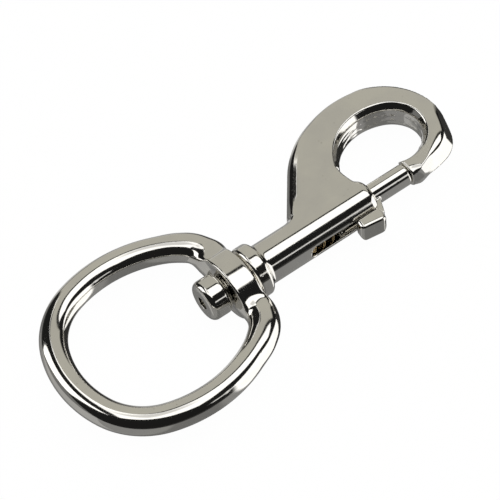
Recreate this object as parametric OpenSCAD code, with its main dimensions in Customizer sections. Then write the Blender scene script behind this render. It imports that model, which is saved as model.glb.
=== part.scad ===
// Swivel snap hook with a round eye, a sliding spring bolt and a thumb lever.
// It lies flat: the swivel axis runs along X, the hook points to +X,
// the bight bulges to +Y and the thumb lever sticks out to -Y.

/* [Eye] */
// Diameter of the eye's wire
eye_wire_d = 4.9; // [4.4:0.1:5.2]
// Bend radius of the wire at the far end of the eye
eye_end_r = 20.3; // [19:0.1:22]
// Turn of the wire along the far end, to each side, in degrees
eye_end_turn = 21.4; // [19:0.2:24]
// Bend radius of the wire at the eye's two rounder corners
eye_corner_r = 12.95; // [12:0.05:14]
// Turn of the wire at each rounder corner, in degrees
eye_corner_turn = 49.6; // [47:0.2:52]
// Bend radius of the wire along the eye's flatter sides
eye_side_r = 22.6; // [21:0.1:24]
// Bend radius of the shoulders where the wire turns into the crossbar
eye_shoulder_r = 5.85; // [5:0.05:6.5]
// Turn of the wire at each shoulder, in degrees
eye_shoulder_turn = 52; // [48:1:56]
// Thickness of the crossbar boss along the swivel axis
hub_len = 4.3; // [3.8:0.1:4.8]
// Height of the crossbar boss at the swivel axis
hub_h = 9.8; // [9:0.1:10]
// Radius of the boss's two arched faces
hub_arch_r = 7.8; // [7.2:0.1:8.4]
// Diameter of the crossbar's ends, between the boss and the wire
crossbar_d = 3.8; // [3.6:0.1:3.9]
// Turn of each shoulder, in degrees, at which the wire's rounded end starts
eye_start_turn = 26; // [22:1:32]

/* [Swivel stud] */
// Diameter of the stem that the eye turns on
stem_d = 4.6; // [4:0.1:5]
// Diameter of the stud's head inside the eye
head_d = 7.4; // [6.6:0.1:8]
// Length of the stud's head
head_len = 4.2; // [3.4:0.1:4.8]
// Rounding at the end of the head
head_round = 1.1; // [0.6:0.1:1.5]
// Diameter of the centre mark in the end of the head
dimple_d = 1.9; // [1.4:0.1:2.4]
// Depth of the centre mark
dimple_depth = 0.5; // [0.3:0.1:0.8]
// Length of stem pressed into the barrel
stem_grip = 4.2; // [3:0.1:5]
// Play between the stem and the eye's bore, on the radius
swivel_play = 0.09; // [0.05:0.01:0.1]
// End play of the eye at each face of its boss
swivel_end_play = 0.25; // [0.15:0.05:0.4]

/* [Collar and barrel] */
// Diameter of the collar flange
collar_d = 9.8; // [9:0.1:10.4]
// Thickness of the collar flange
collar_t = 2.9; // [2.4:0.1:3.3]
// Rounding of the collar's rim
collar_round = 0.75; // [0.3:0.05:0.95]
// Radius of the fillet between the collar and the barrel
collar_fillet = 0.6; // [0.3:0.05:0.8]
// Diameter of the barrel
barrel_d = 7.5; // [7.2:0.1:8]
// Length of the barrel in front of the collar
barrel_len = 23.5; // [22:0.1:25.5]
// Rounding of the barrel's mouth
mouth_round = 1.2; // [0.6:0.1:1.4]
// Width of the lever slot
slot_w = 2.4; // [2.2:0.1:2.8]
// Distance from the mouth to the rear end of the slot
slot_len = 15; // [14:0.1:17]

/* [Bolt] */
// Diameter of the sliding bolt
bolt_d = 4.0; // [3.8:0.1:4.4]
// Play between the bolt and its bore, on the radius
bolt_play = 0.08; // [0.04:0.01:0.1]
// Length of the bolt
bolt_len = 16; // [14:0.5:17]
// Chamfer at the bolt's two ends
bolt_chamfer = 0.3; // [0.1:0.05:0.5]
// Gap left between the closed bolt and the hook's nose
nose_gap = 0.06; // [0.03:0.01:0.1]
// Width of the lever's neck across the slot
neck_w = 1.9; // [1.5:0.1:1.9]
// Length of the lever's neck along the bolt
neck_len = 1.7; // [1.4:0.1:2.2]
// Distance from the barrel's mouth to the front of the neck
neck_ahead = 0.9; // [0.7:0.05:1.2]
// Distance that the neck leans back on its way out to the pad
neck_lean = 1.2; // [0.8:0.1:1.4]
// Length of the thumb pad along the bolt
pad_len = 5.8; // [5:0.1:6.4]
// Height of the thumb pad
pad_h = 4.3; // [3.8:0.1:4.8]
// Distance from the bolt's axis to the front corner of the pad's outer face
pad_reach = 6.75; // [6.5:0.05:7.2]
// Angle by which the pad's outer face leans out towards the front, in degrees
pad_turn = 8.4; // [5:0.2:10]
// Gap between the thumb pad and the barrel
pad_gap = 0.3; // [0.2:0.05:0.45]
// Rounding of the thumb pad's upright corners
pad_round = 1; // [0.6:0.1:1.2]
// Rounding of the thumb pad's outline, seen from its outer face
pad_corner = 1.4; // [0.8:0.1:1.7]

/* [Spring] */
// Diameter of the spring's wire
spring_wire_d = 0.5; // [0.4:0.05:0.6]
// Play between the coils and the bore, on the radius
spring_play = 0.14; // [0.1:0.02:0.3]
// Number of coils
spring_coils = 7; // [5:1:7]

/* [Hook] */
// Thickness of the flat hook
hook_t = 6.3; // [5.8:0.1:6.6]
// Rounding along the hook's edges
edge_round = 0.9; // [0.6:0.05:1.1]
// Distance from the barrel's mouth to the hook's nose
throat = 8; // [7.4:0.1:8]
// Radius of the bight's outer edge at the tip
tip_r = 11.9; // [11.6:0.1:12.2]
// Centre of that edge, ahead of the barrel's mouth
tip_x = 8.62; // [8.4:0.02:8.9]
// Centre of that edge, out from the bolt's axis
tip_y = 7.42; // [7.2:0.02:7.6]
// Direction, in degrees, at which the outer edge widens into the shoulder
tip_turn = 80.7; // [78:0.1:83]
// Radius of the shoulder's outer edge
shoulder_r = 20.3; // [20:0.1:21]
// Direction, in degrees, at which the shoulder runs straight to the barrel
shoulder_turn = 143; // [141:0.5:145]
// Radius of the fillet between the shoulder and the barrel
root_fillet = 2.2; // [1.6:0.1:2.6]
// Radius of the opening's edge near the tip
open_r = 6.25; // [6.1:0.05:6.4]
// Centre of that edge, ahead of the barrel's mouth
open_x = 10.02; // [9.8:0.02:10.2]
// Centre of that edge, out from the bolt's axis
open_y = 7.71; // [7.6:0.01:7.8]
// Direction, in degrees, at which the opening widens
open_turn = 64.7; // [63:0.1:66]
// Radius of the opening's edge near the barrel
open_wide_r = 10.56; // [10.3:0.02:10.8]
// Distance from the barrel's mouth back to the opening's straight edge
web_back = 1.5; // [1.3:0.1:1.8]
// Thickness of the round nose that meets the bolt
nose_d = 4.4; // [4.3:0.1:4.8]
// Bend radius of the nose's centre line
nose_bend_r = 5.2; // [5:0.1:5.3]
// Length of the nose's straight end
nose_len = 5; // [4.5:0.1:5.5]
// Chamfer at the nose's end
nose_chamfer = 0.35; // [0.2:0.05:0.5]
// Length of the nose's round neck, ahead of the swell
nose_neck = 1.8; // [1.2:0.1:2.4]

/* [Hidden] */
$fn = 96;
wire_r = eye_wire_d / 2;

// Turns of the eye's centre line, as directions seen from each bend's centre.
end_dir = 180 - eye_end_turn;
corner_dir = end_dir - eye_corner_turn;
side_dir = eye_shoulder_turn;

// The crossbar's centre line lies across the swivel axis at x = 0 until the part is put in place.
shoulder_c = [-eye_shoulder_r,
    (eye_side_r - eye_shoulder_r) * sin(side_dir)
    + (eye_corner_r - eye_side_r) * sin(corner_dir)
    + (eye_end_r - eye_corner_r) * sin(end_dir)];
side_c = shoulder_c - (eye_side_r - eye_shoulder_r) * [cos(side_dir), sin(side_dir)];
corner_c = side_c - (eye_corner_r - eye_side_r) * [cos(corner_dir), sin(corner_dir)];
end_c = corner_c - (eye_end_r - eye_corner_r) * [cos(end_dir), sin(end_dir)];
eye_far_x = end_c[0] - eye_end_r - wire_r;
eye_top_y = side_c[1] + eye_side_r + wire_r;

// Stations along the swivel axis, measured from the crossbar's centre line.
collar_x = hub_len / 2 + swivel_end_play;
barrel_x = collar_x + collar_t;
mouth_x = barrel_x + barrel_len;
nose_x = mouth_x + throat;
head_x = -hub_len / 2 - swivel_end_play;
stem_end_x = collar_x + stem_grip;
bolt_tip_x = nose_x - nose_gap;
bolt_tail_x = bolt_tip_x - bolt_len;

barrel_r = barrel_d / 2;
bore_r = bolt_d / 2 + bolt_play;
stem_r = stem_d / 2;
eye_bore_r = stem_r + swivel_play;
press_grip = 0.01;
pad_grip = 0.5;

// Neighbouring bends lap a little, with one a hair thinner than the other.
wire_step = 0.01;
lap = 1;
seam_lap = 0.4;
rest_z = max(collar_d, hub_h) / 2;
wire_end_c = shoulder_c + eye_shoulder_r * [cos(eye_start_turn), sin(eye_start_turn)];
wire_end_step = 0.05;

tip_c = [mouth_x + tip_x, tip_y];
shoulder_edge_c = tip_c + (tip_r - shoulder_r) * [cos(tip_turn), sin(tip_turn)];
open_c = [mouth_x + open_x, open_y];
open_wide_c = open_c + (open_r - open_wide_r) * [cos(open_turn), sin(open_turn)];
web_x = mouth_x - web_back;
root_y = barrel_r * 0.8;
web_low = -barrel_r * 0.1;

// Sections of the nose: a point on its rim, its share of the swell and the way inward.
// Shares and directions go from the round neck, round the elbow, to the flat hook.
rim_ball_r = nose_d / 2 * 0.9;
rim_edge_r = edge_round * 1.1;
inner_ball_r = edge_round * 0.9;
inner_inset = edge_round * 0.7;
bend_c = [nose_x + nose_len, nose_bend_r];
elbow_r = nose_bend_r + nose_d / 2;
swell_end = -14;
nose_rim = [
    [[nose_x, 0], 0, [0, 1]],
    [[nose_x + nose_neck, -nose_d / 2], 0.22, [0, 1]],
    rim_on(bend_c, elbow_r, -84, 0.4),
    rim_on(bend_c, elbow_r, -60, 0.6),
    rim_on(tip_c, tip_r - wire_step, -44, 0.75),
    rim_on(tip_c, tip_r - wire_step, -30, 0.9),
    rim_on(tip_c, tip_r - wire_step, swell_end, 0.99)];
function rim_on(c, r, dir, share) = [c + r * [cos(dir), sin(dir)], share, -[cos(dir), sin(dir)]];

// The flare of an opening meets the flat face at a small angle.
flare_r = edge_round * 1.3;
flare_cross = 0.06;
root_cut = 0.03;

// The shoulder's straight edge, from its bend to the fillet at the barrel.
straight_a = shoulder_edge_c + shoulder_r * [cos(shoulder_turn), sin(shoulder_turn)];
straight_n = [cos(shoulder_turn), sin(shoulder_turn)];
straight_d = [-sin(shoulder_turn), cos(shoulder_turn)];
fillet_y = root_y + root_fillet;
fillet_x = straight_a[0] + (root_fillet - (fillet_y - straight_a[1]) * straight_n[1]) / straight_n[0];
fillet_c = [fillet_x, fillet_y];
straight_b = fillet_c - root_fillet * straight_n;
straight_len = norm(straight_b - straight_a);

// The collar and the boss rest on the ground, and the part is centred over the origin.
mid_x = (eye_far_x + tip_c[0] + tip_r) / 2;
mid_y = (shoulder_edge_c[1] + shoulder_r - eye_top_y) / 2;

// Puts a shape drawn about the swivel axis into the part's own frame.
module placed() {
    translate([-mid_x, -mid_y, rest_z])
        children();
}

// Lays a shape turned about Z along the swivel axis, with its start towards -Y.
module about_axis() {
    rotate([0, 90, 0])
        rotate([0, 0, -90])
            children();
}

// Turns a profile drawn as (along the axis, radius) about the swivel axis.
module turned(points) {
    about_axis()
        rotate_extrude()
            polygon([for (p = points) [p[1], p[0]]]);
}

// Points of a quarter round on a turned profile, centred at (x, r).
function quarter(x, r, rad, a0, a1, steps = 10) =
    [for (i = [0:steps]) [x + rad * cos(a0 + (a1 - a0) * i / steps), r + rad * sin(a0 + (a1 - a0) * i / steps)]];

// A cylinder along the swivel axis from x0 to x1.
module rod(x0, x1, r) {
    translate([x0, 0, 0])
        rotate([0, 90, 0])
            cylinder(h = x1 - x0, r = r);
}

// A ring section of round rod, bent in the XY plane.
module bend(centre, path_r, rod_r, from, to) {
    translate([centre[0], centre[1], 0])
        rotate([0, 0, from])
            rotate_extrude(angle = to - from)
                translate([path_r, 0])
                    circle(r = rod_r);
}

// One bend of the eye's wire, on the +Y side or mirrored to the -Y side.
module bend_between(centre, path_r, rod_r, from, to, side) {
    low = side > 0 ? from : -to;
    bend([centre[0], side * centre[1]], path_r, rod_r, low, low + to - from);
}

// Half-thickness profile of the hook's edge, with both corners rounded.
module edge_profile(outer, depth, h) {
    union() {
        translate([outer - depth, -h])
            square([depth - edge_round, 2 * h]);
        translate([outer - depth, -h + edge_round])
            square([depth, 2 * h - 2 * edge_round]);
        for (s = [-1, 1])
            translate([outer - edge_round, s * (h - edge_round)])
                circle(r = edge_round, $fn = 48);
    }
}

// A wedge of the flat hook whose rim follows an arc.
module rim_sector(centre, r, from, to, h) {
    translate([centre[0], centre[1], 0])
        rotate([0, 0, from])
            rotate_extrude(angle = to - from)
                edge_profile(r, r, h);
}

// Cutter for an opening whose edges are rounded: it flares at both faces.
module flared_cutter(r, from, to) {
    h = hook_t / 2;
    flare_z = h - flare_r + flare_cross;
    rotate([0, 0, from])
        rotate_extrude(angle = to - from)
            difference() {
                translate([0, -h - 1])
                    square([r + flare_r, hook_t + 2]);
                translate([r, -flare_z])
                    square([flare_r + 1, 2 * flare_z]);
                for (s = [-1, 1])
                    translate([r + flare_r, s * flare_z])
                        circle(r = flare_r, $fn = 48);
            }
}

// The eye: a loop of round wire, whose rounded ends run into an arched boss.
module swivel_eye() {
    color([0.66, 0.65, 0.60])
        placed()
            difference() {
                union() {
                    bend(end_c, eye_end_r, wire_r, end_dir, 360 - end_dir);
                    for (side = [-1, 1]) {
                        bend_between(corner_c, eye_corner_r, wire_r - wire_step, corner_dir - lap, end_dir + lap, side);
                        bend_between(side_c, eye_side_r, wire_r, side_dir, corner_dir, side);
                        bend_between(shoulder_c, eye_shoulder_r, wire_r - wire_step, eye_start_turn, side_dir + lap, side);
                        translate([wire_end_c[0], side * wire_end_c[1], 0])
                            sphere(r = wire_r + wire_end_step);
                    }
                    rotate([90, 0, 0])
                        cylinder(h = 2 * wire_end_c[1], d = crossbar_d, center = true);
                    intersection() {
                        translate([0, 0, hub_h / 2 - hub_arch_r])
                            rod(-hub_len / 2, hub_len / 2, hub_arch_r);
                        translate([0, 0, hub_arch_r - hub_h / 2])
                            rod(-hub_len / 2, hub_len / 2, hub_arch_r);
                    }
                }
                rod(-hub_len, hub_len, eye_bore_r);
            }
}

// The stud: a turned head and stem, pressed into the rear of the barrel.
module swivel_stud() {
    tail_x = head_x - head_len;
    dimple_r = (pow(dimple_d / 2, 2) + pow(dimple_depth, 2)) / (2 * dimple_depth);
    color([0.70, 0.69, 0.64])
        placed()
            difference() {
                union() {
                    turned(concat(
                        [[tail_x, 0]],
                        quarter(tail_x + head_round, head_d / 2 - head_round, head_round, 180, 90),
                        [[head_x, head_d / 2], [head_x, 0]]));
                    rod(head_x - 1, stem_end_x, stem_r + press_grip);
                }
                translate([tail_x - dimple_r + dimple_depth, 0, 0])
                    sphere(r = dimple_r, $fn = 48);
            }
}

// Flat plate of the hook before its opening is cut.
module hook_plate() {
    h = hook_t / 2;
    rim_sector(tip_c, tip_r - wire_step, swell_end, tip_turn + lap, h - wire_step);
    rim_sector(shoulder_edge_c, shoulder_r, tip_turn, shoulder_turn, h);
    // Straight part of the shoulder's edge.
    translate([straight_a[0], straight_a[1], 0])
        rotate([0, 0, shoulder_turn])
            rotate([-90, 0, 0])
                translate([0, 0, -seam_lap])
                    linear_extrude(height = straight_len + 2 * seam_lap)
                        edge_profile(-wire_step, 6, h - wire_step);
    // Web between the shoulder and the barrel, with the corner for the root fillet.
    translate([0, 0, -h])
        linear_extrude(height = hook_t)
            polygon([
                straight_a - 3 * straight_n,
                straight_b - 3 * straight_n,
                straight_b,
                fillet_c,
                [fillet_c[0], web_low],
                [mouth_x - 1, web_low],
                shoulder_edge_c,
                tip_c]);
}

// Rounded end of the hook's opening.
module opening_tip() {
    translate([open_c[0], open_c[1], 0])
        flared_cutter(open_r, -200, open_turn);
}

// Wider part of the opening, with a straight edge on the barrel's side.
module opening_wide() {
    h = hook_t / 2;
    intersection() {
        translate([open_wide_c[0], open_wide_c[1], 0])
            flared_cutter(open_wide_r + wire_step, open_turn, 200);
        translate([web_x, 0, -h - 2])
            cube([30, 40, hook_t + 4]);
    }
}

// Throat between the barrel's mouth and the nose.
module opening_throat() {
    h = hook_t / 2;
    translate([web_x, -barrel_r - 2, -h - 2])
        cube([throat + web_back, barrel_r + open_y, hook_t + 4]);
}

// Two balls, above and below the hook's middle plane, whose tops lie at height h.
module ball_pair(at, h, r) {
    for (s = [-1, 1])
        translate([at[0], at[1], s * (h - r)])
            sphere(r = r, $fn = 24);
}

// One section of the swelling nose, k steps on from its round end.
module nose_section(k) {
    rim = nose_rim[k][0];
    share = nose_rim[k][1];
    inward = nose_rim[k][2];
    h = nose_d / 2 + (hook_t / 2 - nose_d / 2) * share;
    r = rim_ball_r + (rim_edge_r - rim_ball_r) * share;
    across = rim - open_c;
    if (k == 0)
        rod(nose_x + nose_chamfer, nose_x + 2 * nose_chamfer, nose_d / 2 - wire_step, $fn = 24);
    else {
        ball_pair(rim + r * inward, h, r);
        ball_pair(open_c + (open_r - inner_inset) * across / norm(across), h, inner_ball_r);
    }
}

// The nose swells from round to the hook's full thickness.
module nose_swell() {
    for (k = [0:len(nose_rim) - 2])
        hull() {
            nose_section(k);
            nose_section(k + 1);
        }
}

// The round nose that the bolt closes against.
module nose() {
    turned([
        [nose_x, 0],
        [nose_x, nose_d / 2 - nose_chamfer],
        [nose_x + nose_chamfer, nose_d / 2],
        [nose_x + nose_len, nose_d / 2],
        [nose_x + nose_len, 0]]);
    bend(bend_c, nose_bend_r, nose_d / 2, -90, 0);
}

// Collar and barrel, as a profile of radius against distance along the axis.
module barrel_profile() {
    translate([0, collar_x + 0.1])
        square([barrel_r, mouth_x - mouth_round - collar_x - 0.1]);
    translate([0, barrel_x - 0.2])
        square([barrel_r - mouth_round, mouth_x - barrel_x + 0.2]);
    translate([barrel_r - mouth_round, mouth_x - mouth_round])
        circle(r = mouth_round, $fn = 48);
    translate([0, collar_x])
        square([collar_d / 2 - collar_round, collar_t]);
    translate([0, collar_x + collar_round])
        square([collar_d / 2, collar_t - 2 * collar_round]);
    for (x = [collar_x + collar_round, barrel_x - collar_round])
        translate([collar_d / 2 - collar_round, x])
            circle(r = collar_round, $fn = 48);
    polygon([
        [0, barrel_x - 0.3],
        [barrel_r + collar_fillet, barrel_x - 0.3],
        [barrel_r + collar_fillet, barrel_x],
        [barrel_r + collar_fillet * 0.3, barrel_x + collar_fillet * 0.3],
        [barrel_r, barrel_x + collar_fillet],
        [0, barrel_x + collar_fillet]]);
}

// The body: collar, slotted barrel, web and hook in one casting.
module snap_body() {
    color([0.68, 0.67, 0.62])
        placed()
            difference() {
                union() {
                    difference() {
                        union() {
                            hook_plate();
                            nose_swell();
                        }
                        opening_tip();
                        opening_wide();
                        opening_throat();
                        translate([fillet_c[0], fillet_c[1], 0])
                            flared_cutter(root_fillet + root_cut, 0, 360);
                    }
                    nose();
                    about_axis()
                        rotate_extrude()
                            barrel_profile();
                }
                rod(collar_x - 1, stem_end_x, stem_r);
                rod(stem_end_x - 1, mouth_x + 1, bore_r);
                // Slot for the thumb lever, with a round rear end.
                translate([mouth_x - slot_len + slot_w / 2, -barrel_d, -slot_w / 2])
                    cube([slot_len, barrel_d, slot_w]);
                translate([mouth_x - slot_len + slot_w / 2, 0, 0])
                    rotate([90, 0, 0])
                        cylinder(h = barrel_d, d = slot_w);
            }
}

// A box from a corner, with its corners rounded.
module round_box(at, size, r) {
    translate([at[0] + r, at[1]])
        square([size[0] - 2 * r, size[1]]);
    translate([at[0], at[1] + r])
        square([size[0], size[1] - 2 * r]);
    for (x = [at[0] + r, at[0] + size[0] - r])
        for (y = [at[1] + r, at[1] + size[1] - r])
            translate([x, y])
                circle(r = r, $fn = 48);
}

// The sliding bolt with its neck and thumb pad.
module snap_bolt() {
    neck_x = mouth_x + neck_ahead;
    pad_x = neck_x - neck_lean;
    pad_in = barrel_r + pad_gap;
    grip_y = -pad_in - pad_grip;
    color([0.70, 0.69, 0.64])
        placed() {
            turned([
                [bolt_tail_x, 0],
                [bolt_tail_x, bolt_d / 2 - bolt_chamfer],
                [bolt_tail_x + bolt_chamfer, bolt_d / 2],
                [bolt_tip_x - bolt_chamfer, bolt_d / 2],
                [bolt_tip_x, bolt_d / 2 - bolt_chamfer],
                [bolt_tip_x, 0]]);
            // Neck from the bolt out to the pad.
            translate([0, 0, -neck_w / 2])
                linear_extrude(height = neck_w)
                    polygon([
                        [neck_x - neck_len, 0],
                        [neck_x - neck_len, -bolt_d / 2],
                        [pad_x - neck_len, grip_y],
                        [pad_x - pad_round, grip_y],
                        [pad_x, -pad_in],
                        [neck_x, -bolt_d / 2],
                        [neck_x, 0]]);
            // Pad: rounded seen from above and from its outer face, which leans out.
            intersection() {
                translate([pad_x, -pad_reach, 0])
                    rotate([0, 0, -pad_turn]) {
                        intersection() {
                            translate([0, 0, -pad_h / 2])
                                linear_extrude(height = pad_h)
                                    round_box([-pad_len, 0], [pad_len, pad_reach], pad_round);
                            translate([0, pad_reach, 0])
                                rotate([90, 0, 0])
                                    linear_extrude(height = 2 * pad_reach)
                                        round_box([-pad_len, -pad_h / 2], [pad_len, pad_h], pad_corner);
                        }
                    }
                translate([pad_x - 2 * pad_len, -pad_in - pad_reach, -pad_h])
                    cube([3 * pad_len, pad_reach, 2 * pad_h]);
            }
        }
}

// Points of one ring of the spring's wire, at a turn of a degrees.
function coil_ring(a, r, pitch, x0, sides) =
    [for (k = [0:sides - 1])
        let (b = 360 * k / sides, q = r + spring_wire_d / 2 * cos(b))
        [x0 + pitch * a / 360 + spring_wire_d / 2 * sin(b), q * cos(a), q * sin(a)]];

// The return spring behind the bolt.
module return_spring() {
    sides = 8;
    steps = 14;
    r = bore_r - spring_play - spring_wire_d / 2;
    x0 = stem_end_x + spring_wire_d / 2 + 0.05;
    x1 = bolt_tail_x - spring_wire_d / 2 - 0.05;
    pitch = (x1 - x0) / spring_coils;
    count = spring_coils * steps;
    rings = [for (i = [0:count]) coil_ring(360 * i / steps, r, pitch, x0, sides)];
    points = [for (ring = rings) each ring];
    walls = [for (i = [0:count - 1]) for (k = [0:sides - 1])
        [i * sides + k, i * sides + (k + 1) % sides, (i + 1) * sides + (k + 1) % sides, (i + 1) * sides + k]];
    first = [for (k = [0:sides - 1]) sides - 1 - k];
    last = [for (k = [0:sides - 1]) count * sides + k];
    color([0.72, 0.60, 0.36])
        placed()
            polyhedron(points = points, faces = concat(walls, [first, last]));
}

snap_body();
swivel_stud();
swivel_eye();
snap_bolt();
return_spring();
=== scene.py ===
import bpy
import numpy as np
from mathutils import Matrix


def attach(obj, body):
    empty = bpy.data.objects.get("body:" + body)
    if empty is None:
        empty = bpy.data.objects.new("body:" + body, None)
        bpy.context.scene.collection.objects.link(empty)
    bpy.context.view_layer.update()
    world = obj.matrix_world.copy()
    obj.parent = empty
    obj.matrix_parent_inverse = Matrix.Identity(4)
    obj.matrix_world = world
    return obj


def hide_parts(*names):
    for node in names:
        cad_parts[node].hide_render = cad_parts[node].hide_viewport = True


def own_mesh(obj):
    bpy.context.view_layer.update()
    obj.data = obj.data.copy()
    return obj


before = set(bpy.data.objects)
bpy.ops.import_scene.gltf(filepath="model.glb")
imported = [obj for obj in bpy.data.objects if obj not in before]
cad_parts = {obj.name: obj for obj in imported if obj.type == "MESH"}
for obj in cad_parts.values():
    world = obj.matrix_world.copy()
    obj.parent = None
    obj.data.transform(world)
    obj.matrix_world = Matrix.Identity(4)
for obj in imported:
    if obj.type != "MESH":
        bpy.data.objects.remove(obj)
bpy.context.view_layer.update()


# Distance fields, negative inside
def smin(a, b, k):
    """The union of two fields, blended where they lie within k of each other."""
    h = np.clip(0.5 + 0.5 * (b - a) / k, 0, 1)
    return b * (1 - h) + a * h - k * h * (1 - h)


def smax(a, b, k):
    return -smin(-a, -b, k)


def smooth(t):
    """0 below 0 and 1 above 1, with a soft start and end."""
    t = np.clip(t, 0, 1)
    return t * t * (3 - 2 * t)


def grow(v, amount, start, over):
    """0 up to start, then a soft rise to the amount."""
    return amount * smooth((v - start) / over)


def rounded(a, b, r):
    """The part inside both fields, with their corner rounded to radius r."""
    qa, qb = a + r, b + r
    return np.minimum(np.maximum(qa, qb), 0) + np.hypot(np.maximum(qa, 0), np.maximum(qb, 0)) - r


def circle(x, y, c, r):
    return np.hypot(x - c[0], y - c[1]) - r


def span(x, x0, x1):
    return np.abs(x - (x0 + x1) / 2) - (x1 - x0) / 2


def side(x, y, c, deg):
    """Positive to the left of the ray from c at that direction."""
    a = np.radians(deg)
    return np.cos(a) * (y - c[1]) - np.sin(a) * (x - c[0])


def unit(deg):
    return np.array([np.cos(np.radians(deg)), np.sin(np.radians(deg))])


# Sizes, in millimetres and degrees. The x axis is the swivel axis, from the middle of the eye's
# crossbar towards the hook, y points to the side where the hook bulges, and z is up.
# OFFSET puts a point into the part's own frame.
OFFSET = np.array([-7.0546, -0.411411, 4.9])
PER_METRE = 1000
FAR = -9.0    # a field value that loses every maximum

COLLAR_X, BARREL_X, MOUTH_X, NOSE_X = 2.4, 5.3, 28.8, 36.8
STEM_END, HEAD_X, TAIL_X = 6.6, -2.4, -6.6
BOLT_TIP, BOLT_TAIL = 36.74, 20.74
BARREL_R, COLLAR_R, BORE_R, BOLT_R, STEM_R, HEAD_R = 3.75, 4.89, 2.08, 2.0, 2.3, 3.69
BARREL_ROUND, COLLAR_ROUND, HEAD_ROUND, BOLT_ROUND = 1.6, 0.75, 1.1, 0.45
BORE_END = 32
SLOT_R = 1.2
SLOT_C = MOUTH_X - 15 + SLOT_R
BARREL_START = COLLAR_X + 0.3

# The hook's outline: a tip, a wider arc at its shoulder, a straight side and a fillet at its root.
TIP_C, TIP_R, TIP_TURN = np.array([MOUTH_X + 8.62, 7.42]), 11.89, 80.7
SHOULDER_R, SHOULDER_REACH, STRAIGHT_TURN = 20.3, 11.9, 143
SHOULDER_C = TIP_C + (SHOULDER_REACH - SHOULDER_R) * unit(TIP_TURN)
OUT = unit(STRAIGHT_TURN)
ALONG = np.array([-OUT[1], OUT[0]])
STRAIGHT_A = SHOULDER_C + SHOULDER_R * OUT
FILLET_R, ROOT_Y = 2.2, 3.0
FILLET_Y = ROOT_Y + FILLET_R
FILLET_C = np.array([STRAIGHT_A[0] + (FILLET_R - (FILLET_Y - STRAIGHT_A[1]) * OUT[1]) / OUT[0], FILLET_Y])
STRAIGHT_B = FILLET_C - FILLET_R * OUT
ROOT_END, BACK_END = 24, 20

# From FRONT_X on, and below the tip's centre, a flatter arc and the nose's long lower arc take over.
FRONT_X, ELBOW_X, ELBOW_BLEND = 33, 40, 1.8
LOW_R, NOSE_R = 17.0, 18.8
LOW_C = TIP_C + np.array([TIP_R - LOW_R, 0])
NOSE_C = np.array([MOUTH_X + 10.33, 16.23])
NOSE_Y, NOSE_SAG, SAG_OVER = 2.2, 0.37, 2.33

# The back of the rim stands out a little, up to REAR_OUT, from REAR_X over REAR_OVER.
REAR_X, REAR_OVER, REAR_OUT = 31, 7, 0.15

# The opening, and the web's straight edge, which leans forward on its way down to the barrel.
OPEN_C, OPEN_R, WIDE_R, WIDE_TURN = np.array([MOUTH_X + 10.35, 7.28]), 5.58, 10.1, 64.7
WIDE_C = OPEN_C + (OPEN_R - WIDE_R) * unit(WIDE_TURN)
WEB_X, WEB_Y, WEB_LEAN, WEB_ROUND = MOUTH_X - 0.8, 3.1, 0.21, 0.8
THROAT_Y = 7.0

# The hook's section: its half height here and at the nose, and its lowest y behind the opening.
TOP_H, NOSE_H, THIN_OVER, PLATE_Y = 3.13, 2.2, 10.5, -0.4

# Its rim: a shallow slope, a steep one below it, and a plain rounding, which is larger round the nose.
SHALLOW_SIN, SHALLOW_COS, SHALLOW_W = 0.276, 0.961, 2.0
STEEP_LEAN, STEEP_LEN, STEEP_H = 0.69, 1.215, 1.3
RIM_ROUND, NECK_ROUND, NECK_AT, NECK_OVER = 0.5, 1.6, 0.6, 4.4

# Where the rim changes, each as an amount, a start and a length to grow over. ROOT_CALM and
# LOWER_FRONT grow with -y, STEEP_FRONT, STEEP_TIP and TIP_SOFTER with x, and UPPER_TIP with y.
ROOT_CALM = (1.1, -6.5, 3)
LOWER_FRONT, LOWER_X = (1, -TIP_C[1] - 1.5, 8.5), 36
STEEP_FRONT, STEEP_TIP, UPPER_TIP, TIP_SOFTER = (0.25, 28, 8), (0.7, 39, 5), (1, 2, 4), (0.8, ELBOW_X, 4)
LOWER_NARROWER, LOWER_STEEPER, LOWER_START = 0.9, 0.09, 0.2

# The opening's wall starts WALL_UP above the faces, with a rough seam of this depth, height and width.
WALL_UP, SEAM_D, SEAM_Z, SEAM_W, SEAM_WANDER = 0.5, 0.17, 0.75, 0.2, 0.2

# How softly the body's forms meet.
COLLAR_BLEND, ROOT_BLEND, FACE_EDGE, RIM_EDGE, THROAT_EDGE = 0.9, 0.3, 0.1, 0.3, 0.35
WALL_EDGE, WALL_TOP_EDGE, BORE_EDGE, SLOT_EDGE = 0.3, 0.2, 0.25, 0.3


def hook_outer(x, y):
    front = (x > FRONT_X) & (y < TIP_C[1])
    tip = np.where(front, circle(x, y, LOW_C, LOW_R), circle(x, y, TIP_C, TIP_R))
    d = np.where(side(x, y, TIP_C, TIP_TURN) > 0, circle(x, y, SHOULDER_C, SHOULDER_R), tip)
    straight = (x - STRAIGHT_A[0]) * OUT[0] + (y - STRAIGHT_A[1]) * OUT[1]
    d = np.where(side(x, y, SHOULDER_C, STRAIGHT_TURN) > 0, straight, d)
    d = d - np.where(x < REAR_X, REAR_OUT * smooth((REAR_X - x) / REAR_OVER), 0.0)
    past = (x - STRAIGHT_B[0]) * ALONG[0] + (y - STRAIGHT_B[1]) * ALONG[1] > 0
    root = np.where(x > FILLET_C[0], -circle(x, y, FILLET_C, FILLET_R), y - ROOT_Y)
    d = np.where(past & (x < ROOT_END), root, d)
    stub = -NOSE_Y - NOSE_SAG * smooth((x - NOSE_X) / SAG_OVER) - y
    arc = np.where(x < NOSE_C[0], stub, circle(x, y, NOSE_C, NOSE_R))
    elbow = smax(np.where(x > ELBOW_X, d, FAR), arc, ELBOW_BLEND)
    return np.maximum(np.where(front, elbow, d), np.where(x < BACK_END, FILLET_C[0] - 1.0 - x, FAR))


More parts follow.
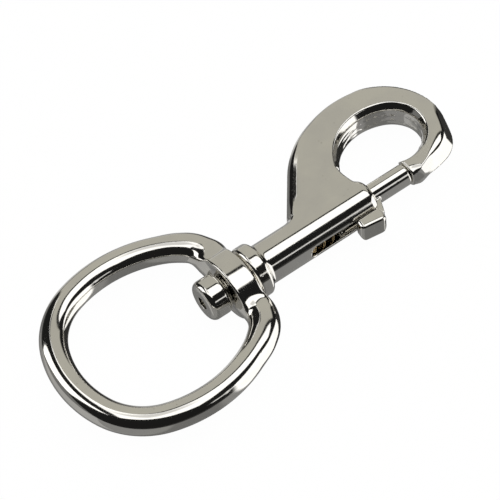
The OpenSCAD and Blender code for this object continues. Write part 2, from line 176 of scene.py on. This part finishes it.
def web(x, y):
    return WEB_X - WEB_LEAN * (y - WEB_Y) - x


def hook_open(x, y):
    wide = side(x, y, WIDE_C, WIDE_TURN) > 0
    d = np.where(wide, circle(x, y, WIDE_C, WIDE_R), circle(x, y, OPEN_C, OPEN_R))
    return smax(d, web(x, y), WEB_ROUND)


def body_field(x, y, z):
    r = np.hypot(y, z)
    high = np.abs(z)
    # Collar and barrel, turned.
    barrel = np.maximum(rounded(x - MOUTH_X, r - BARREL_R, BARREL_ROUND), BARREL_START - x)
    collar = rounded(span(x, COLLAR_X, BARREL_X), r - COLLAR_R, COLLAR_ROUND)
    pin = smin(barrel, collar, COLLAR_BLEND)
    # The flat hook thins towards the nose, where its rim also grows rounder.
    dist = np.hypot(x - NOSE_X, y)
    h = NOSE_H + (TOP_H - NOSE_H) * np.where(x > BORE_END, smooth(dist / THIN_OVER), 1.0)
    neck = np.where(x > BORE_END, 1 - smooth((dist - NECK_AT) / NECK_OVER), 0.0)
    outer = np.maximum(hook_outer(x, y), np.where(x < REAR_X, PLATE_Y - y, FAR))
    # Its rim has a shallow slope and a steep one above a band at mid height. At the lower front the
    # steep one takes in the whole height, and at the root the shallow one narrows.
    low = np.where(x > LOWER_X, grow(-y, *LOWER_FRONT), 0.0)
    calm = grow(-y, *ROOT_CALM) * (x < ROOT_END)
    shallow = SHALLOW_SIN * (outer + SHALLOW_W - LOWER_NARROWER * low - calm) + SHALLOW_COS * (high - h)
    lean = (STEEP_LEAN - LOWER_STEEPER * low) * (1 - neck)
    size = STEEP_H - grow(x, *STEEP_FRONT) - grow(x, *STEEP_TIP) * grow(y, *UPPER_TIP)
    start = (h - size) * (1 - low) + LOWER_START * low
    steep = (outer + lean * (high - start)) / np.sqrt(1 + lean * lean)
    plate = smax(high - h, shallow, FACE_EDGE)
    plate = smax(plate, steep, RIM_EDGE + grow(x, *TIP_SOFTER))
    plate = np.maximum(plate, rounded(outer, high - h, RIM_ROUND + NECK_ROUND * neck))
    # The opening's wall: a slope over a rough seam, whose waves only make it irregular.
    turn = np.arctan2(y - OPEN_C[1], x - OPEN_C[0])
    ripple = 0.6 + 0.3 * np.sin(9 * turn) + 0.25 * np.sin(23 * turn + 1)
    seam = SEAM_D * ripple * np.exp(-((high - SEAM_Z - SEAM_WANDER * np.sin(5 * turn)) / SEAM_W) ** 2)
    wall = -hook_open(x, y) - seam
    slope_in = (wall + STEEP_LEAN * (high - (h - STEEP_H))) / STEEP_LEN
    plate = smax(plate, smax(np.maximum(wall, high - h - WALL_UP), slope_in, WALL_EDGE), WALL_TOP_EDGE)
    throat = np.maximum(np.maximum(web(x, y), x - NOSE_X), y - THROAT_Y)
    plate = smax(plate, -throat, THROAT_EDGE)
    # Bore for the bolt and the spring, seat of the stud, and the lever slot.
    bore = np.maximum(np.where(x > STEM_END, r - BORE_R, r - STEM_R), x - BORE_END)
    slot = np.where(x > SLOT_C, high - SLOT_R, np.hypot(x - SLOT_C, z) - SLOT_R)
    slot = np.maximum(np.maximum(slot, y), x - BORE_END)
    return smax(smax(smin(pin, plate, ROOT_BLEND), -bore, BORE_EDGE), -slot, SLOT_EDGE)


# The eye's centre line on the +y side, as arcs that meet at these directions from the second centre.
SHOULDER2_C, SHOULDER2_R = np.array([-5.85, 6.75677]), 5.85
SIDE_C, SIDE_R, SIDE_TURN = np.array([-16.1623, -6.44241]), 22.6, 52
CORNER_C, CORNER_R, CORNER_TURN = np.array([-19.3041, 2.68184]), 12.95, 109
END_C, END_R, END_TURN = np.array([-12.4608, 0.0]), 20.3, 158.6
WIRE_R = 2.44

# Its boss: a round arch that runs out straight below 42 degrees, whose cosine and sine these are.
HUB_H, HUB_R, HUB_HALF, HUB_ROUND = 4.9, 7.8, 2.14, 0.4
RUN_FROM, RUN_COS, RUN_SIN = 0.9, 0.743, 0.669

# The wire widens and flattens towards the boss, and meets it more softly on the +y side. Where there
# are three numbers, they are an amount, a start and a length to grow over, in x, |y| and y.
WIDEN, FLATTEN, FLAT_X, FLAT_END = (0.12, -6, 4), 0.1, -6, (1, 7, 2.2)
HUB_BLEND, SADDLE = 0.9, (1.3, 3, 4)

# Room for the collar, the stud's head and its stem, up to CLEAR_X along the axis.
CLEAR_FACE, COLLAR_CLEAR, HEAD_CLEAR, STEM_CLEAR, CLEAR_X = 2.2, 5.2, 4.0, 2.39, -9
CLEAR_EDGE, STEM_EDGE = 0.2, 0.25


def eye_field(x, y, z):
    q = np.abs(y)
    r = np.hypot(y, z)
    d = np.where(q < SHOULDER2_C[1], x, circle(x, q, SHOULDER2_C, SHOULDER2_R))
    d = np.where(side(x, q, SIDE_C, SIDE_TURN) > 0, circle(x, q, SIDE_C, SIDE_R), d)
    d = np.where(side(x, q, SIDE_C, CORNER_TURN) > 0, circle(x, q, CORNER_C, CORNER_R), d)
    d = np.where(side(x, q, CORNER_C, END_TURN) > 0, circle(x, q, END_C, END_R), d)
    wide = 1 + grow(x, *WIDEN)
    flat = 1 - FLATTEN * np.where(x > FLAT_X, 1 - grow(q, *FLAT_END), 0.0)
    wire = np.hypot(d / wide, z / flat) - WIRE_R
    up = np.abs(z) + HUB_R - HUB_H
    arch = np.where(q > RUN_FROM * up, q * RUN_SIN + up * RUN_COS, np.hypot(q, up)) - HUB_R
    boss = rounded(arch, np.abs(x) - HUB_HALF, HUB_ROUND)
    f = smin(wire, boss, HUB_BLEND + grow(y, *SADDLE))
    f = smax(f, np.minimum(x - CLEAR_FACE, COLLAR_CLEAR - r), CLEAR_EDGE)
    f = smax(f, np.minimum(np.minimum(-x - CLEAR_FACE, HEAD_CLEAR - r), x - CLEAR_X), CLEAR_EDGE)
    return smax(f, np.minimum(STEM_CLEAR - r, x - CLEAR_X), STEM_EDGE)


# The stud's turning mark, the small gaps that keep the stem inside its solid, and its soft edges.
MARK_R, MARK_D, STEM_MID, STEM_GAP, END_GAP = 1.15, 1.7, 2, 0.01, 0.02
MARK_EDGE, HEAD_EDGE, STEM_BLEND = 0.12, 0.25, 0.2


def stud_field(x, y, z):
    r = np.hypot(y, z)
    head = rounded(span(x, TAIL_X, HEAD_X), r - HEAD_R, HEAD_ROUND)
    head = np.maximum(head, rounded(x - HEAD_X, r - HEAD_R, HEAD_EDGE))
    head = smax(head, -np.maximum(r - MARK_R, x - TAIL_X - MARK_D), MARK_EDGE)
    stem = np.maximum(r - STEM_R + STEM_GAP, np.abs(x - STEM_MID) - (STEM_END - STEM_MID) + END_GAP)
    return smin(head, stem, STEM_BLEND)


# The bolt's neck leans back on its way out to the pad, whose outer face leans out at the front.
NECK_X, NECK_HALF_X, NECK_HALF_Z, NECK_END, NECK_EDGE = MOUTH_X + 0.9, 0.85, 0.94, 4.6, 0.25
NECK_LEAN, LEAN_OVER, LEAN_MOST = 1.1, 2.5, 1.1
PAD_X, PAD_Y, PAD_L, PAD_TURN, PAD_HALF, PAD_IN = MOUTH_X - 1.05, 6.7, 5.25, 8.4, 2.15, 4.06

# The pad's roundings: seen from above, at the lower and upper corners of its outer face, and along
# its edges. Then how softly it is cut, and how softly pad, neck and rod meet.
PLAN_ROUND, LOWER_ROUND, UPPER_ROUND, PAD_EDGE = 1.0, 1.9, 1.0, 0.8
PAD_CUT, PAD_BLEND, ROD_BLEND = 0.3, 0.45, 0.3


def bolt_field(x, y, z):
    r = np.hypot(y, z)
    high = np.abs(z)
    rod = rounded(span(x, BOLT_TAIL, BOLT_TIP), r - BOLT_R, BOLT_ROUND)
    lean = NECK_LEAN * np.clip((-y - BOLT_R) / LEAN_OVER, 0, LEAN_MOST)
    neck = rounded(np.abs(x - NECK_X + NECK_HALF_X + lean) - NECK_HALF_X, high - NECK_HALF_Z, NECK_EDGE)
    neck = np.maximum(np.maximum(neck, y), -NECK_END - y)
    cs, sn = unit(PAD_TURN)
    u = (x - PAD_X) * cs - (y + PAD_Y) * sn
    v = (x - PAD_X) * sn + (y + PAD_Y) * cs
    length = np.abs(u + PAD_L / 2) - PAD_L / 2
    face = rounded(length, high - PAD_HALF, np.where(z < 0, LOWER_ROUND, UPPER_ROUND))
    pad = smax(rounded(rounded(length, -v, PLAN_ROUND), high - PAD_HALF, PAD_EDGE), face, PAD_CUT)
    pad = smax(pad, PAD_IN + y, PAD_CUT)
    return smin(rod, smin(neck, pad, PAD_BLEND), ROD_BLEND)


# Meshes from fields
CORNERS = [(i, j, k) for i in (0, 1) for j in (0, 1) for k in (0, 1)]
SLAB = 16    # grid planes that are worked out at a time
ROUNDS = 6    # moves onto the surface, each at most SHARE of a grid step
SHARE, LEAST_SLOPE, TINY = 0.4, 0.05, 1e-9
FIT_EPS, NORMAL_EPS = 0.02, 0.04    # half the distance over which slopes are measured, in mm


def net(field, lo, hi, step):
    """A closed quad mesh of the field's zero surface, one vertex in each grid cell that it crosses."""
    lo = np.asarray(lo, float)
    n = np.ceil((np.asarray(hi, float) - lo) / step).astype(int) + 1
    xs, ys, zs = (lo[a] + step * np.arange(n[a]) for a in range(3))
    F = np.empty(n, np.float32)
    for i in range(0, n[0], SLAB):
        X, Y, Z = np.meshgrid(xs[i:i + SLAB], ys, zs, indexing="ij")
        F[i:i + SLAB] = field(X, Y, Z)
    inside = F < 0
    m = n - 1
    count = sum(inside[i:m[0] + i, j:m[1] + j, k:m[2] + k].astype(np.int8) for i, j, k in CORNERS)
    cells = np.argwhere((count > 0) & (count < len(CORNERS)))
    index = -np.ones(m, np.int64)
    index[tuple(cells.T)] = np.arange(len(cells))
    # Each vertex is the mean of the points where the surface cuts its cell's edges.
    total = np.zeros((len(cells), 3))
    hits = np.zeros(len(cells))
    for a in range(3):
        for corner in CORNERS:
            if corner[a]:
                continue
            p = cells + corner
            q = p.copy()
            q[:, a] += 1
            fp, fq = F[tuple(p.T)].astype(float), F[tuple(q.T)].astype(float)
            cross = (fp < 0) != (fq < 0)
            at = p.astype(float)
            at[:, a] += np.where(cross, fp / np.where(cross, fp - fq, 1), 0)
            total[cross] += at[cross]
            hits[cross] += 1
    verts = lo + step * total / hits[:, None]
    # Each grid edge that crosses the surface gives a quad of the four cells round it.
    quads = []
    for a in range(3):
        b, c = (a + 1) % 3, (a + 2) % 3
        first = np.take(inside, range(n[a] - 1), axis=a)
        second = np.take(inside, range(1, n[a]), axis=a)
        for flip, where in ((False, first & ~second), (True, ~first & second)):
            p = np.argwhere(where)
            p = p[(p[:, b] > 0) & (p[:, c] > 0) & (p[:, b] < n[b] - 1) & (p[:, c] < n[c] - 1)]
            ring = []
            for db, dc in ((0, 0), (-1, 0), (-1, -1), (0, -1)):
                cell = p.copy()
                cell[:, b] += db
                cell[:, c] += dc
                ring.append(index[tuple(cell.T)])
            q = np.stack(ring, 1)
            quads.append(q[:, ::-1] if flip else q)
    return verts, np.concatenate(quads)


def gradient(field, p, eps):
    g = np.empty_like(p)
    for a in range(3):
        d = np.zeros(3)
        d[a] = eps
        g[:, a] = (field(*(p + d).T) - field(*(p - d).T)) / (2 * eps)
    return g


def mesh_object(name, verts, faces, normals=None):
    me = bpy.data.meshes.new(name)
    me.from_pydata(((verts + OFFSET) / PER_METRE).tolist(), [], [list(map(int, f)) for f in faces])
    me.validate()
    me.polygons.foreach_set("use_smooth", np.ones(len(me.polygons), bool))
    if normals is not None:
        me.normals_split_custom_set_from_vertices(normals.tolist())
    me.update()
    ob = bpy.data.objects.new(name, me)
    bpy.context.scene.collection.objects.link(ob)
    return ob


# Where the shading of the bolt's round side is turned: this near to its surface, between these tilts.
ROD_NEAR, ROD_SOFT, TURN_FROM, TURN_TO, TURN_SOFT = 0.2, 0.1, -112, 55, 30


def turn_shading(g, p, turn):
    """Turns the shading of the bolt's round side about its axis, by that many degrees on top."""
    tilt = np.degrees(np.arctan2(g[:, 1], g[:, 2]))
    rod = smooth((ROD_NEAR - np.abs(np.hypot(p[:, 1], p[:, 2]) - BOLT_R)) / ROD_SOFT)
    share = smooth((tilt - TURN_FROM) / TURN_SOFT) * smooth((TURN_TO - tilt) / TURN_SOFT)
    a = np.radians(tilt - turn * rod * share)
    size = np.hypot(g[:, 1], g[:, 2])
    g[:, 1], g[:, 2] = size * np.sin(a), size * np.cos(a)


def field_object(name, field, lo, hi, step, turn=0):
    p, quads = net(field, lo, hi, step)
    for _ in range(ROUNDS):
        g = gradient(field, p, FIT_EPS)
        move = (field(*p.T) / np.maximum(np.sum(g * g, 1), LEAST_SLOPE))[:, None] * g
        length = np.linalg.norm(move, axis=1)[:, None]
        p = p - move * np.minimum(1, SHARE * step / np.maximum(length, TINY))
    g = gradient(field, p, NORMAL_EPS)
    g /= np.maximum(np.linalg.norm(g, axis=1), TINY)[:, None]
    if turn:
        turn_shading(g, p, turn)
    return mesh_object(name, p, quads, g)


def sweep(name, path, radius, sides=14):
    """A round wire along a path of points, with closed ends."""
    t = np.gradient(path, axis=0)
    t /= np.linalg.norm(t, axis=1)[:, None]
    ref = np.array([1.0, 0, 0])
    u = ref - t * (t @ ref)[:, None]
    u /= np.linalg.norm(u, axis=1)[:, None]
    w = np.cross(t, u)
    a = np.arange(sides) * 2 * np.pi / sides
    ring = np.cos(a)[None, :, None] * u[:, None] + np.sin(a)[None, :, None] * w[:, None]
    verts = (path[:, None] + radius * ring).reshape(-1, 3)
    rows = [[i * sides + k for k in range(sides)] for i in range(len(path))]
    faces = [[one[k], one[(k + 1) % sides], two[(k + 1) % sides], two[k]]
             for one, two in zip(rows, rows[1:]) for k in range(sides)]
    return mesh_object(name, verts, faces + [rows[0][::-1], rows[-1]])


# Materials
def builder(tree):
    """Empties a node tree and gives a function that adds a node, with values or sockets as inputs."""
    tree.nodes.clear()

    def add(kind, inputs, **settings):
        node = tree.nodes.new("ShaderNode" + kind)
        for k, v in settings.items():
            setattr(node, k, v)
        for k, v in inputs.items():
            if isinstance(v, bpy.types.NodeSocket):
                tree.links.new(v, node.inputs[k])
            else:
                node.inputs[k].default_value = v
        return node
    return add


def metal(name, tint, rough, wave, pits):
    """tint: its colour, rough: its roughness, wave: the depth of its waviness in metres, pits: 0 to 1."""
    mat = bpy.data.materials.new(name)
    mat.use_nodes = True
    add = builder(mat.node_tree)
    at = add("TexCoord", {}).outputs["Object"]
    slow = add("TexNoise", {"Vector": at, "Scale": 220, "Detail": 2}).outputs["Fac"]
    fine = add("TexNoise", {"Vector": at, "Scale": 2600, "Detail": 4}).outputs["Fac"]
    # Small pits, in some places only.
    some = add("TexNoise", {"Vector": at, "Scale": 500}).outputs["Fac"]
    cell = add("TexVoronoi", {"Vector": at, "Scale": 900}).outputs["Distance"]
    pit = add("MapRange", {"Value": cell, "From Min": 0.0, "From Max": 0.16, "To Min": 1.0, "To Max": 0.0})
    gate = add("MapRange", {"Value": some, "From Min": 0.56, "From Max": 0.64})
    few = add("Math", {0: pit.outputs[0], 1: gate.outputs[0]}, operation="MULTIPLY")
    amount = add("Math", {0: few.outputs[0], 1: pits}, operation="MULTIPLY").outputs[0]
    # Warm nickel with a faint cooler and darker drift, darker in the pits.
    drift = add("ValToRGB", {"Fac": slow})
    dim, full = drift.color_ramp.elements
    dim.position, full.position = 0.35, 0.68
    dim.color = (tint[0] * 0.93, tint[1] * 0.93, tint[2] * 0.95, 1)
    full.color = (*tint, 1)
    pit_colour = (tint[0] * 0.35, tint[1] * 0.33, tint[2] * 0.30, 1)
    colour = add("Mix", {0: amount, 6: drift.outputs["Color"], 7: pit_colour}, data_type="RGBA")
    polish = add("MapRange", {"Value": fine, "To Min": rough * 0.7, "To Max": rough * 1.5})
    wavy = add("Bump", {"Strength": 1.0, "Distance": wave, "Height": slow})
    grain = add("Bump", {"Strength": 1.0, "Distance": 0.0000012, "Height": fine, "Normal": wavy.outputs[0]})
    sunk = add("Bump", {"Strength": 1.0, "Distance": 0.00002, "Height": amount, "Normal": grain.outputs[0]},
               invert=True)
    bsdf = add("BsdfPrincipled", {"Metallic": 1.0, "Base Color": colour.outputs[2],
                                  "Roughness": polish.outputs[0], "Normal": sunk.outputs[0]})
    add("OutputMaterial", {0: bsdf.outputs[0]})
    return mat


NICKEL, BRONZE = (0.86, 0.84, 0.78), (0.80, 0.62, 0.36)
cast = metal("nickel_casting", NICKEL, 0.075, 0.00002, 0.5)
turned = metal("nickel_turned", NICKEL, 0.06, 0.000008, 0.2)
coiled = metal("spring_wire", BRONZE, 0.22, 0.00001, 0.3)

# Pieces
step = 0.24
eye = field_object("eye_ring", eye_field, (-38.5, -19.5, -4.8), (3.4, 19.5, 4.8), step * 0.85)
body = field_object("snap_casting", body_field, (1.6, -5.6, -5.4), (50.2, 20.3, 5.4), step)
stud = field_object("stud_pin", stud_field, (-7.4, -4.5, -4.5), (7.4, 4.5, 4.5), step * 0.6)
bolt = field_object("thumb_bolt", bolt_field, (19.8, -7.4, -3.2), (37.6, 2.9, 3.2), step * 0.7, 7)

COILS, COIL_STEPS, SPRING_R, SPRING_GAP, SPRING_PLAY, SPRING_KEEP = 7, 36, 0.25, 0.3, 0.14, 0.35
SPRING_X = STEM_END + SPRING_GAP
coil_r = BORE_R - SPRING_PLAY - SPRING_R
a = np.linspace(0, 2 * np.pi * COILS, COILS * COIL_STEPS + 1)
along = SPRING_X + (BOLT_TAIL - SPRING_GAP - SPRING_X) * a / a[-1]
spring = sweep("coil_spring", np.stack([along, coil_r * np.cos(a), coil_r * np.sin(a)], 1), SPRING_R)

for ob, mat, on, node, slot in (
        (eye, cast, "eye", "swivel_eye", "plated_casting"),
        (body, cast, "body", "snap_body", "plated_casting"),
        (stud, turned, "body", "swivel_stud", "plated_turned"),
        (bolt, turned, "bolt", "snap_bolt", "plated_turned"),
        (spring, coiled, "body", "return_spring", "spring_wire")):
    ob.data.materials.append(mat)
    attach(ob, on)
    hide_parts(node)
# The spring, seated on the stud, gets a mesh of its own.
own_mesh(spring)

# Studio: the world that the metal reflects
world = bpy.data.worlds.new("studio")
bpy.context.scene.world = world
world.use_nodes = True
add = builder(world.node_tree)


def math(op, *values, clamp=False):
    return add("Math", dict(enumerate(values)), operation=op, use_clamp=clamp).outputs[0]


def above(value, limit, soft):
    """1 where the value is over the limit, with a soft edge."""
    return math("ADD", math("MULTIPLY", math("SUBTRACT", value, limit), 1 / soft), 0.5, clamp=True)


def below(value, limit, soft):
    return math("SUBTRACT", 1.0, above(value, limit, soft))


def both(*parts):
    out = parts[0]
    for part in parts[1:]:
        out = math("MULTIPLY", out, part)
    return out


def band(value, lo, hi, soft_lo, soft_hi):
    return both(above(value, lo, soft_lo), below(value, hi, soft_hi))


# It is drawn by direction: dx along the part, and tilt from overhead towards +y, in degrees.
way = add("SeparateXYZ", {0: add("TexCoord", {}).outputs["Generated"]})
dx, dy, dz = way.outputs
tilt = math("MULTIPLY", math("ARCTAN2", dy, dz), 180 / np.pi)


def line(x0, t0, rate):
    """A tilt that changes along the part: t0 where dx is x0."""
    return math("MULTIPLY_ADD", dx, rate, t0 - rate * x0)


# A big soft box overhead, a skewed sheet, whose far edge steps back at dx 0.12. It is dimmer
# straight overhead, so that the flat faces aren't lost from above.
box_low = math("MAXIMUM", line(0.1, -36, -62), math("MINIMUM", line(0.1, -36, 48), line(0.34, -24.5, 3)))
box_left = math("MINIMUM", line(-0.45, 2, 70.8), 36)
box_right = line(0.15, 17, -23.6)
right = above(dx, 0.12, 0.03)
left = math("SUBTRACT", 1.0, right)
box_high = math("ADD", math("MULTIPLY", box_left, left), math("MULTIPLY", box_right, right))
middle = both(band(dx, -0.16, 0.16, 0.08, 0.08), band(tilt, -4, 19, 8, 8))
box = both(band(tilt, box_low, box_high, 2.5, 2.0), below(dx, 0.77, 0.03),
           math("MULTIPLY_ADD", middle, -0.45, 1.0))

# A grey-tan wall behind the part, which reaches lower towards the hook.
hookward = above(dx, 0.22, 0.06)
wall = both(band(tilt, math("ADD", box_high, 8.0), math("MULTIPLY_ADD", hookward, 8, 93), 2.5, 4),
            band(dx, 0.04, 0.9, 0.03, 0.05))

# A second window at the left, the thin line of its frame, and a white card low at the right.
rhomb = math("ADD", math("ABSOLUTE", math("MULTIPLY_ADD", dx, 4.8, 2.8)),
             math("ABSOLUTE", math("MULTIPLY_ADD", tilt, 0.028, -1.35)))
window = both(below(rhomb, 1.2, 0.08), above(dx, -0.8, 0.03))
window_frame = both(band(dx, 0.03, 0.055, 0.01, 0.01), band(tilt, 36, 60, 3, 4))
card = both(above(dx, 0.46, 0.05), band(tilt, -160, line(0.5, -57, 35), 5, 3))

# A light strip in front of the part, wider where the bolt shows it.
near = band(dx, 0.35, 0.4, 0.01, 0.02)
strip = both(band(dx, 0.18, 0.5, 0.04, 0.05),
             band(tilt, math("MULTIPLY_ADD", near, -6, -67), math("MULTIPLY_ADD", near, 3, -61), 2, 2))

# The ground far below, lighter towards both ends and behind, and the dim room at the far left.
ground = both(above(math("ABSOLUTE", tilt), 98, 3), below(dx, 0.5, 0.05))
ground_ends = both(ground, above(math("ABSOLUTE", dx), 0.27, 0.08))
ground_back = both(band(tilt, 101, 142, 4, 6), band(dx, 0.0, 0.6, 0.05, 0.05),
                   math("MULTIPLY_ADD", hookward, -0.28, 0.4))
room = both(below(dx, -0.55, 0.1), above(tilt, 55, 6))

DARK, TAN = 0.012, (0.46, 0.45, 0.405)
level = DARK
for part, strength in ((box, 1.35), (window, 1.5), (card, 1.3), (strip, 0.8), (ground, 0.15),
                       (ground_ends, 0.09), (ground_back, 1.0), (window_frame, 0.9), (room, 0.16)):
    level = math("ADD", math("MULTIPLY", part, strength), level)
shade = add("CombineColor", {i: math("ADD", level, math("MULTIPLY", wall, c)) for i, c in enumerate(TAN)})
drawn = add("Background", {"Color": shade.outputs[0]})
# The camera, and anything clear, sees plain white behind the part.
plain = add("Background", {"Color": (1, 1, 1, 1)})
ray = add("LightPath", {}).outputs
straight_through = math("MAXIMUM", ray["Is Camera Ray"], ray["Is Transmission Ray"])
backdrop = add("MixShader", {0: straight_through, 1: drawn.outputs[0], 2: plain.outputs[0]})
add("OutputWorld", {0: backdrop.outputs[0]})

# Floor: a white sheet just under the part, which keeps its shadow faintly. In the metal it shows
# faintly too, with the studio's ground through it, as the photo's grey undersides need.
bpy.ops.mesh.primitive_plane_add(size=6, location=(0, 0, -0.0002))
floor = bpy.context.object
floor.name = "floor"
sheet = bpy.data.materials.new("floor")
sheet.use_nodes = True
add = builder(sheet.node_tree)
ray = add("LightPath", {}).outputs
lit = add("BsdfDiffuse", {"Color": (0.82, 0.82, 0.80, 1)})
white = add("Emission", {"Color": (1, 1, 1, 1), "Strength": 1.03})
to_camera = math("MULTIPLY", ray["Is Camera Ray"], 0.95)
paper = add("MixShader", {0: to_camera, 1: lit.outputs[0], 2: white.outputs[0]})
to_metal = math("MULTIPLY", ray["Is Glossy Ray"], 0.94)
clear = add("BsdfTransparent", {})
faint = add("MixShader", {0: to_metal, 1: paper.outputs[0], 2: clear.outputs[0]})
add("OutputMaterial", {0: faint.outputs[0]})
floor.data.materials.append(sheet)

# Camera
cam = bpy.data.cameras.new("camera")
cam.sensor_width = 36
cam.lens = 150.365
cam.clip_start = 0.01
cam.clip_end = 20
shot = bpy.data.objects.new("camera", cam)
bpy.context.scene.collection.objects.link(shot)
shot.matrix_world = Matrix((
    (0.80742, 0.512168, -0.292841, -0.1049429),
    (-0.584174, 0.624597, -0.518285, -0.1806325),
    (-0.082541, 0.589544, 0.803508, 0.2903732),
    (0, 0, 0, 1)))
bpy.context.scene.camera = shot
bpy.context.scene.view_settings.view_transform = "Standard"
